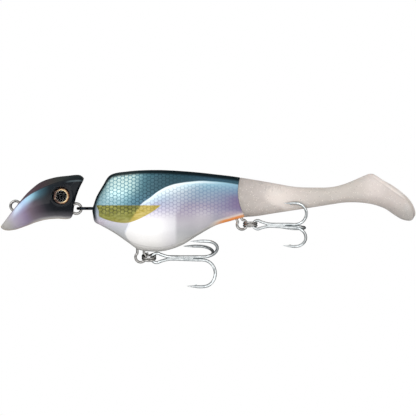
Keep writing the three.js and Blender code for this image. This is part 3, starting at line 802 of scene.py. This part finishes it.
def soft_look():
    look = Look(
        "milky soft plastic", attribute="rest",
        subsurface_weight=0.35, subsurface_scale=0.003, specular_ior_level=0.45,
    )
    look.shader.inputs["Subsurface Radius"].default_value = (1, 0.8, 0.7)
    x, z, mix = look.x, look.z, look.mix
    tone = x.ramp([
        (118, "a49c96"), (121, "b3aba6"), (127, "bbb2ad"), (133, "c2b9b4"), (139, "cdc4be"),
        (150, "c2b9b3"), (163, "c0b9b2"), (178, "bfb8b1"), (186, "cbc2bc"), (192, "cbc1bc"),
        (200, "c8bfba"), (212, "bbb4ae"),
    ])
    low = (z - x.curve(TAIL_LOW)).between(6, 0)
    tone = mix(low * 0.38, tone, "9a928d")
    # Painted highlight: a brighter warm patch on the upper stem behind the body.
    warm_painted_light = x.band(131, 136, 139, 149) * z.band(0, 4, 7, 11)
    tone = mix(warm_painted_light * 0.4, tone, "e6dcd4")
    haze = look.noise(3, 3)
    slant = z + (x - 131) * 0.5
    # Painted light: a lighter band above the slanted line across the stem, with a painted shadow below it.
    painted_lit_core = (slant + (haze - 0.5) * 3).between(2.5, 5.5) * x.between(124, 132)
    painted_lit_core = painted_lit_core * (z + x * 0.12).between(29.5, 26.5)
    tone = mix(painted_lit_core * x.band(128, 136, 143, 162) * 0.34, tone, "e8dfd8")
    shadow = slant.between(5, 2) * x.band(121, 126, 143, 149)
    tone = mix(shadow * 0.35, tone, "a79f98")
    # Painted shade: darker at the root, next to the body.
    tone = mix(x.between(129, 120) * z.between(4.5, 1) * 0.4, tone, "8b837c")
    brushed = look.noise(1.1, 3, stretch=(1, 1, 0.12)).between(0.45, 0.65)
    brushed = brushed * x.band(121, 124, 138, 146)
    tone = mix(brushed * z.between(6, 9) * 0.45, tone, "a8a29e")
    blade = z + 0.72 * x - 153.4
    # Painted highlight along the paddle's upper rear edge, with a thin painted shade line inside it.
    painted_edge_highlight = blade.between(-2.2, -1.4) * x.band(188, 191, 203, 208)
    tone = mix(painted_edge_highlight * 0.5, tone, "efe6e0")
    painted_shade_line = blade.band(-2.9, -2.4, -2.1, -1.6)
    painted_shade_line = painted_shade_line * x.band(189, 191, 205, 209)
    tone = mix(painted_shade_line * 0.4, tone, "a99f9b")
    root = x.band(184, 189, 192, 197) * z.between(3, 8)
    tone = mix(root * 0.35, tone, "e6ddd8")
    tone = mix(x.between(199, 207) * z.between(3, -2) * 0.45, tone, "b4b2ae")
    cloud = look.noise(6, 4)
    tone = mix(cloud.between(0.35, 0.7) * 0.15, tone, "ddd4cc")
    inner = look.noise(2.4, 5, stretch=(1, 1, 0.45), rough=0.65)
    tone = mix(inner.between(0.56, 0.72) * x.between(140, 124) * 0.3, tone, "857c76")
    sparkle = look.cells(0.7).between(0.3, 0.12)
    chosen = look.cells(0.7, output="Color")
    tone = mix(sparkle * chosen.between(0.45, 0.6) * 0.7, tone, "fffaf0")
    tone = mix(sparkle * chosen.between(0.4, 0.3) * 0.35, tone, "a89f99")
    speck = look.cells(2.1).between(0.13, 0.05)
    tone = mix(speck * 0.55, tone, "6f6762")
    look.set("Base Color", tone)
    look.set("Roughness", look.noise(1.8, 3) * 0.18 + 0.3)
    look.bump(look.noise(3, 3) * 0.7 + look.noise(0.5, 2) * 0.15, 0.08, 0.5)
    return look


def dull_look(name, light, dark, grain, **numbers):
    look = Look(name, **numbers)
    look.set("Base Color", look.mix(look.noise(grain * 3, 4).between(0.3, 0.7), dark, light))
    look.set("Roughness", look.noise(grain, 3) * 0.25 + 0.45)
    look.bump(look.noise(grain, 3), 0.05, 0.6)
    return look


# ---- head ----
def eye_bump(point):
    """How far the raised ring round the eye stands off the head at a point."""
    r = math.hypot(point[0] - EYE_X, point[2] - EYE_Z)
    return EYE_RIM_RISE * math.exp(-(((r - EYE_RIM_R) / EYE_RIM_WIDTH) ** 2))


def build_head(look):
    rings = [softened(wedge_ring(station(HEAD, t), 56, 22), 5) for t in np.linspace(0, 1, 170)]
    rings += end_rings(rings[-1], np.array((-1.0, 0, 0)), 0.9, edge=0.7)
    for ring in rings:
        for point in ring:
            if abs(point[1]) > 6:
                point[1] += math.copysign(eye_bump(point), point[1])
    points, faces = skin(rings)
    head = make("head_shell", points, faces)
    for sign in (-1, 1):
        profile = [(EYE_R + 0.3, EYE_FLOOR), (EYE_R + 0.3, 9.0), (5.0, 10.1), (5.25, 11.0), (5.3, 16.0)]
        cut_out(head, make("socket", *lathe_y(profile, EYE_X, EYE_Z, sign, 72)))
    sharpen(head, 40)
    look.wear(head)
    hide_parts("head_shell_left", "head_shell_right")
    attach(head, "head")


def build_eye(side, sign, foil, clear):
    back = EYE_FLOOR + 0.3
    front = back + EYE_DISC
    profile = [(0.2, back), (3.9, back), (EYE_R, back + 0.12), (EYE_R, front - 0.2), (3.95, front - 0.05)]
    profile += [(3.6, front), (2.9, front - 0.1), (2.78, front - 0.14), (2.66, front - 0.02)]
    profile += [(2.4, front), (0.2, front)]
    disc = sharpen(make(f"eye_iris_{side}", *lathe_y(profile, EYE_X, EYE_Z, sign, 96)), 50)
    foil.wear(disc)
    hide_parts(f"eye_disc_{side}")
    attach(disc, "head")
    base = front + 0.3
    profile = [(0.1, base), (EYE_R - 0.1, base), (EYE_R, base + 0.1)]
    for angle in np.linspace(0, math.pi / 2, 14, endpoint=False):
        profile.append((EYE_R * math.cos(angle), base + 0.3 + (EYE_DOME - 0.3) * math.sin(angle)))
    profile.append((0.1, base + EYE_DOME))
    dome = sharpen(make(f"eye_dome_{side}", *lathe_y(profile, EYE_X, EYE_Z, sign, 72)), 50)
    clear.wear(dome)
    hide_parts(f"eye_lens_{side}")
    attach(dome, "head")


# ---- wires ----
def loop_points(x, z, radius, leg, depth, foot, inward, across):
    """A loop with two legs along inward and feet turned out at their ends."""
    centre = np.array((x, 0, z), float)
    inward, across = np.array(inward, float), np.array(across, float)

    def at(deep, wide):
        return centre + inward * deep + across * wide

    opening = math.asin(leg / radius)
    start = radius * math.cos(opening)
    bend, halfway = 0.8, (depth + start) / 2
    first = [(depth, leg + foot), (depth, leg + bend), (depth - bend, leg), (halfway, leg)]
    last = [at(deep, -wide) for deep, wide in reversed(first)]
    first = [at(deep, wide) for deep, wide in first]
    arc = np.linspace(opening, 2 * math.pi - opening, 13)
    return first + [at(radius * math.cos(a), radius * math.sin(a)) for a in arc] + last


def head_wire_points():
    face = np.array((math.cos(LINE_TIE_SLOPE), 0, math.sin(LINE_TIE_SLOPE)))
    out = np.array((-math.sin(LINE_TIE_SLOPE), 0, math.cos(LINE_TIE_SLOPE)))
    points = [(8.2, 0, -6), (4.6, 0, -6.3), face * -LINE_TIE_R + out * -3.6]
    for angle in np.linspace(-math.pi / 2, math.pi / 2, 9):
        points.append(LINE_TIE_R * (face * math.sin(angle) + out * math.cos(angle)))
    points.append(face * LINE_TIE_R + out * -3.6)
    x, z, radius, leg = LINK
    points += [(9, 0, -0.6), (16, 0, z + leg), (24, 0, z + leg)]
    opening = math.asin(leg / radius)
    for angle in np.linspace(math.pi - opening, opening - math.pi, 11):
        points.append((x + radius * math.cos(angle), 0, z + radius * math.sin(angle)))
    points += [(24, 0, z - leg), (16, 0, z - leg)]
    return points


def build_wire(name, points, radius, node, body, look):
    path, radii = round_end(centripetal(points, 7), radius)
    wire = make(name, *skin(tube_rings(path, radii, 18)))
    look.wear(wire)
    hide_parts(node)
    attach(wire, body)


# ---- hard body ----
def build_body(look):
    rings = [oval_ring(station(BODY, t), 160, BODY_FULLNESS) for t in np.linspace(0, 1, 220)]
    rings += end_rings(rings[-1], np.array((1.0, 0, 0)), 0.0, edge=0.35)
    body = sharpen(make("body_shell", *skin(rings)), 50)
    look.wear(body)
    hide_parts("body_shell_left", "body_shell_right")
    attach(body, "lure_body")


# ---- split rings and treble hooks, built about the ring's centre ----
FRONT = dict(
    at=(66.3, -27.1), roll=23.8, yaw=7.5, pitch=4.1, wire=0.78, eye=2.75, seat=0.8, sink=0.44,
    gape=15.3, bend=28.8, point=20.2, barb=5.0,
)
REAR = dict(
    at=(119.98, -9.8), roll=-6.4, yaw=1.5, pitch=1.8, wire=0.72, eye=2.3, seat=0.55, sink=0.15,
    gape=13.3, bend=23.6, point=17.2, barb=4.0,
)
HOOK_NECK, HOOK_FLARE = 3.4, 0.15  # from eye to shank, and how far the shanks part
GRIND = 6.0  # the length over which a point is ground


def turn(points, axis, degrees):
    a = math.radians(degrees)
    c, s = math.cos(a), math.sin(a)
    m = {
        "x": ((1, 0, 0), (0, c, -s), (0, s, c)),
        "y": ((c, 0, s), (0, 1, 0), (-s, 0, c)),
        "z": ((c, -s, 0), (s, c, 0), (0, 0, 1)),
    }[axis]
    return np.asarray(points, float) @ np.array(m).T


def placed(points, t):
    move = (t["at"][0] + RING_INSIDE + RING_R, 0, t["at"][1])
    return turn(points, "x", t["roll"]) + np.array(move)


def hung(points, t):
    away = np.array((RING_R, 0, 0))
    return turn(turn(np.asarray(points, float) - away, "y", t["pitch"]) + away, "z", t["yaw"])


def leg_path(t, angle, spread):
    """A hook's centre line from its shank to its tip."""
    out = np.array((0, math.cos(angle), math.sin(angle)))
    start = RING_R + t["seat"] + t["eye"] + HOOK_NECK
    low = spread + HOOK_FLARE
    radius = (t["gape"] - low) / 2

    def at(x, radial):
        return np.array((x, 0, -t["sink"])) + out * radial

    points = [at(start, spread), at((start + t["bend"]) / 2, spread), at(t["bend"] - 3, low)]
    for a in np.linspace(-math.pi / 2, math.pi / 2, 9):
        points.append(at(t["bend"] + radius * 0.95 * math.cos(a), low + radius * (1 + math.sin(a))))
    points.append(at(t["point"] + 3.2, t["gape"] - 0.1))
    points.append(at(t["point"], t["gape"] - 0.35))
    return points, out


def distance_left(path):
    """How far it is from each place on a path to its end."""
    steps = np.linalg.norm(np.diff(path, axis=0), axis=1)
    return np.concatenate((np.cumsum(steps[::-1])[::-1], [0.0]))


def ground(path, wire, length):
    """Radii along a wire whose end is ground to a point over that length."""
    return wire * np.clip(distance_left(path) / length, 0.0, 1.0) ** 0.72 + 0.03


def barb(path, out, wire, back):
    """A sliver raised on the inner side of the point, its tip leaning away from the point."""
    left = distance_left(path)

    def along(distance):
        return np.array([np.interp(distance, left[::-1], path[::-1, i]) for i in range(3)])

    ahead, behind = along(back - 1.5), along(back + 0.2)
    side = np.cross(ahead - behind, out)
    side = side / np.linalg.norm(side) * wire * 0.42
    inner = -out * wire
    tip = along(back + 0.45) + inner * 1.85
    heel = (ahead + behind) / 2 + inner * 1.15
    points = [ahead + side * 0.3, ahead - side * 0.3, behind - side, behind + side, tip, heel]
    faces = [(0, 1, 2, 3), (0, 3, 5), (3, 4, 5), (5, 2, 1), (5, 4, 2), (0, 5, 1), (3, 2, 4)]
    return points, faces


def hook_piece(name, parts, t, node, body, look):
    moved = [(placed(hung(p, t), t), f) for p, f in parts]
    obj = sharpen(joined(name, moved), 45)
    look.wear(obj)
    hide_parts(node)
    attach(obj, body)


def build_treble(place, t, metal, tin):
    coil = []
    for a in np.radians(np.linspace(28, 692, 133)):
        lean = (a - 2 * math.pi) / math.radians(24)
        z = RING_STEP * (1 if lean < -1 else -1 if lean > 1 else -math.sin(lean * math.pi / 2))
        coil.append((RING_R * math.cos(a + 1.2), RING_R * math.sin(a + 1.2), z))
    rings = tube_rings(coil, RING_WIRE, 16, flat=RING_FLAT, up=(0, 0, 1))
    ring_points, ring_faces = skin(rings)
    ring = sharpen(make(f"{place}_ring", placed(ring_points, t), ring_faces), 50)
    metal.wear(ring)
    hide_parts(f"{place}_split_ring")
    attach(ring, f"{place}_ring")

    wire = t["wire"]
    packed = wire * 2 / math.sqrt(3)
    third = math.pi / 3 * 2
    eye_x, eye_y = RING_R + t["seat"], packed * math.cos(third)
    eye = []
    for a in np.linspace(0.9, 2 * math.pi - 0.9, 11):
        eye.append((eye_x + t["eye"] * math.cos(a), eye_y, t["eye"] * math.sin(a) - t["sink"]))
    upper, up_out = leg_path(t, third, packed)
    lower, low_out = leg_path(t, -third, packed)
    path = centripetal(upper[::-1] + eye + lower, 9)
    radii = np.minimum(ground(path, wire, GRIND), ground(path[::-1], wire, GRIND)[::-1])
    half = len(path) // 2
    parts = [skin(tube_rings(path, radii, 18))]
    parts.append(barb(path[:half][::-1], up_out, wire, t["barb"]))
    parts.append(barb(path[half:], low_out, wire, t["barb"]))
    start = upper[0][0]
    brace = [(x, -0.66 * wire, -t["sink"]) for x in np.linspace(start - 0.4, t["bend"] - 5.5, 20)]
    parts.append(skin(tube_rings(*round_end(brace, wire * 0.86, steps=5), 16)))
    hook_piece(f"{place}_hook_pair", parts, t, f"{place}_double_hook", f"{place}_treble", tin)

    single, out = leg_path(t, 0, packed + 0.3)
    path = centripetal(single, 9)
    radii = ground(path, wire, GRIND)
    whole, sizes = round_end(path, radii, at_end=False)
    parts = [skin(tube_rings(whole, sizes, 18)), barb(path, out, wire, t["barb"])]
    hook_piece(f"{place}_hook_third", parts, t, f"{place}_single_hook", f"{place}_treble", tin)


# ---- soft tail ----
def build_tail(look):
    """One moulding that stands for both CAD nodes; its rest shape is kept as an attribute."""
    rings = [softened(oval_ring(station(TAIL, t), 112, TAIL_FULLNESS), 2) for t in np.linspace(0, 1, 260)]
    front = [rings[0].mean(axis=0) + (rings[0] - rings[0].mean(axis=0)) * s for s in (0.3, 0.7, 0.95)]
    crest, keel = np.array(TAIL[-1][0]), np.array(TAIL[-1][1])
    slope = crest - keel
    away = np.array((slope[1], 0, -slope[0])) / np.linalg.norm(slope)
    rings = front + rings + end_rings(rings[-1], away, 0.5, round_steps=6, cap_steps=8, edge=1.1)
    tail = sharpen(make("soft_tail", *skin(rings)), 60)
    rest = tail.data.attributes.new("rest", "FLOAT_VECTOR", "POINT")
    rest.data.foreach_set("vector", np.array([v.co for v in tail.data.vertices]).ravel())
    look.wear(tail)
    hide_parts("tail_root", "tail_paddle")
    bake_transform(tail)


# ---- building ----
steel = metal_look("polished stainless wire", "b0aeab", "858380", 0.12)
black = metal_look("black wire", "20262d", "11151a", 0.32)
tin = metal_look("bright tin plate", "dde1e2", "bdc3c5", 0.1)
build_head(head_look())
foil, clear = eye_look(), lens_look()
for side, sign in (("left", -1), ("right", 1)):
    build_eye(side, sign, foil, clear)
build_body(body_look())
build_wire("head_wire_loop", head_wire_points(), WIRE, "head_wire", "head", steel)
nose = loop_points(35.7, -1.3, radius=2.62, leg=0.9, depth=13, foot=3, inward=(1, 0, 0), across=(0, 1, 0))
build_wire("nose_loop", nose, WIRE + 0.09, "nose_eye", "lure_body", black)
belly = loop_points(
    66.3, -27.1, radius=2.7, leg=1.85, depth=10, foot=2.6, inward=(0, 0, 1), across=(1, 0, 0)
)
build_wire("belly_loop", belly, WIRE, "belly_hanger", "lure_body", steel)
rise, run = math.cos(REAR_LEAN), math.sin(REAR_LEAN)
rear = loop_points(
    119.98, -9.8, radius=2.6, leg=1.4, depth=8.6, foot=1.8, inward=(-run, 0, rise), across=(rise, 0, run)
)
build_wire("rear_loop", rear, WIRE, "rear_hanger", "lure_body", steel)
build_treble("front", FRONT, steel, tin)
build_treble("rear", REAR, steel, tin)
build_tail(soft_look())
lead = dull_look("cast lead", "84878b", "55585c", 0.6, metallic=0.8)
peg = dull_look("moulded peg", "dcdad4", "bfbdb6", 0.9)
for node, look in (("belly_ballast", lead), ("nose_ballast", lead), ("tail_peg", peg)):
    look.wear(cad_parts[node])

# ---- floor, light and camera ----
def seen_white(tree, dim, out):
    """Plain white to the eye, and a dimmer light on the object."""
    path = tree.nodes.new("ShaderNodeLightPath")
    mixed = tree.nodes.new("ShaderNodeMixShader")
    white = tree.nodes.new("ShaderNodeBackground" if out == "Background" else "ShaderNodeEmission")
    white.inputs["Color"].default_value = (1, 1, 1, 1)
    white.inputs["Strength"].default_value = 1.0
    tree.links.new(path.outputs["Is Camera Ray"], mixed.inputs[0])
    tree.links.new(dim.outputs[0], mixed.inputs[1])
    tree.links.new(white.outputs[0], mixed.inputs[2])
    return mixed


bpy.ops.mesh.primitive_plane_add(size=4, location=(0.1, 0, -1.6))
floor = bpy.context.object
paper = bpy.data.materials.new("white paper")
paper.use_nodes = True
matte = paper.node_tree.nodes["Principled BSDF"]
matte.inputs["Base Color"].default_value = (0.8, 0.8, 0.8, 1)
matte.inputs["Roughness"].default_value = 0.9
paper.node_tree.links.new(
    seen_white(paper.node_tree, matte, "Emission").outputs[0],
    paper.node_tree.nodes["Material Output"].inputs["Surface"],
)
floor.data.materials.append(paper)

scene = bpy.context.scene
scene.view_settings.view_transform = "Standard"
world = bpy.data.worlds.new("studio")
scene.world = world
world.use_nodes = True
tree = world.node_tree
sky = tree.nodes["Background"]
heading = tree.nodes.new("ShaderNodeTexCoord")
parts = tree.nodes.new("ShaderNodeSeparateXYZ")
level = tree.nodes.new("ShaderNodeMapRange")
level.inputs["From Min"].default_value = -1.0
shade = tree.nodes.new("ShaderNodeValToRGB")
# How bright the studio is from straight below to straight above.
SKY = [(0.0, 1.15), (0.3, 0.9), (0.46, 0.3), (0.58, 0.24), (0.75, 0.42), (1.0, 0.6)]
for i, (place, value) in enumerate(SKY):
    set_stop(shade.color_ramp, i, len(SKY), place, (value, value, value, 1))
tree.links.new(heading.outputs["Generated"], parts.inputs[0])
tree.links.new(parts.outputs[2], level.inputs["Value"])
tree.links.new(level.outputs[0], shade.inputs[0])
tree.links.new(shade.outputs[0], sky.inputs["Color"])
# The side that the fish's left faces is the brighter one.
near = tree.nodes.new("ShaderNodeMapRange")
for slot, value in zip(near.inputs[1:5], (0.3, -0.9, 0.36, 2.5)):
    slot.default_value = value
tree.links.new(parts.outputs[1], near.inputs["Value"])
tree.links.new(near.outputs[0], sky.inputs["Strength"])
tree.links.new(seen_white(tree, sky, "Background").outputs[0], tree.nodes["World Output"].inputs["Surface"])


def softbox(place, aim, size, power, gleams=True):
    light = bpy.data.lights.new("softbox", "AREA")
    light.shape = "RECTANGLE"
    light.size, light.size_y = size
    light.energy = power
    lamp = bpy.data.objects.new("softbox", light)
    lamp.location = place
    lamp.rotation_euler = (Vector(aim) - Vector(place)).to_track_quat("-Z", "Y").to_euler()
    lamp.visible_glossy = gleams
    scene.collection.objects.link(lamp)


MIDDLE = (0.1, 0, 0)
softbox((-0.45, -0.85, 0.45), MIDDLE, size=(0.7, 0.5), power=2.5)
softbox((0.7, -0.9, 0.1), MIDDLE, size=(0.6, 0.6), power=1.6)
softbox((0.0, 0.6, 0.95), MIDDLE, size=(0.8, 0.4), power=5.0, gleams=False)

FRAME_WIDTH, DISTANCE = 0.2205, 1.5
camera = bpy.data.cameras.new("camera")
camera.sensor_width = 36
camera.lens = 36 * DISTANCE / FRAME_WIDTH
eye = bpy.data.objects.new("camera", camera)
eye.location = (0.102, -DISTANCE, -0.00106)
eye.rotation_euler = (math.radians(90), 0, 0)
scene.collection.objects.link(eye)
scene.camera = eye
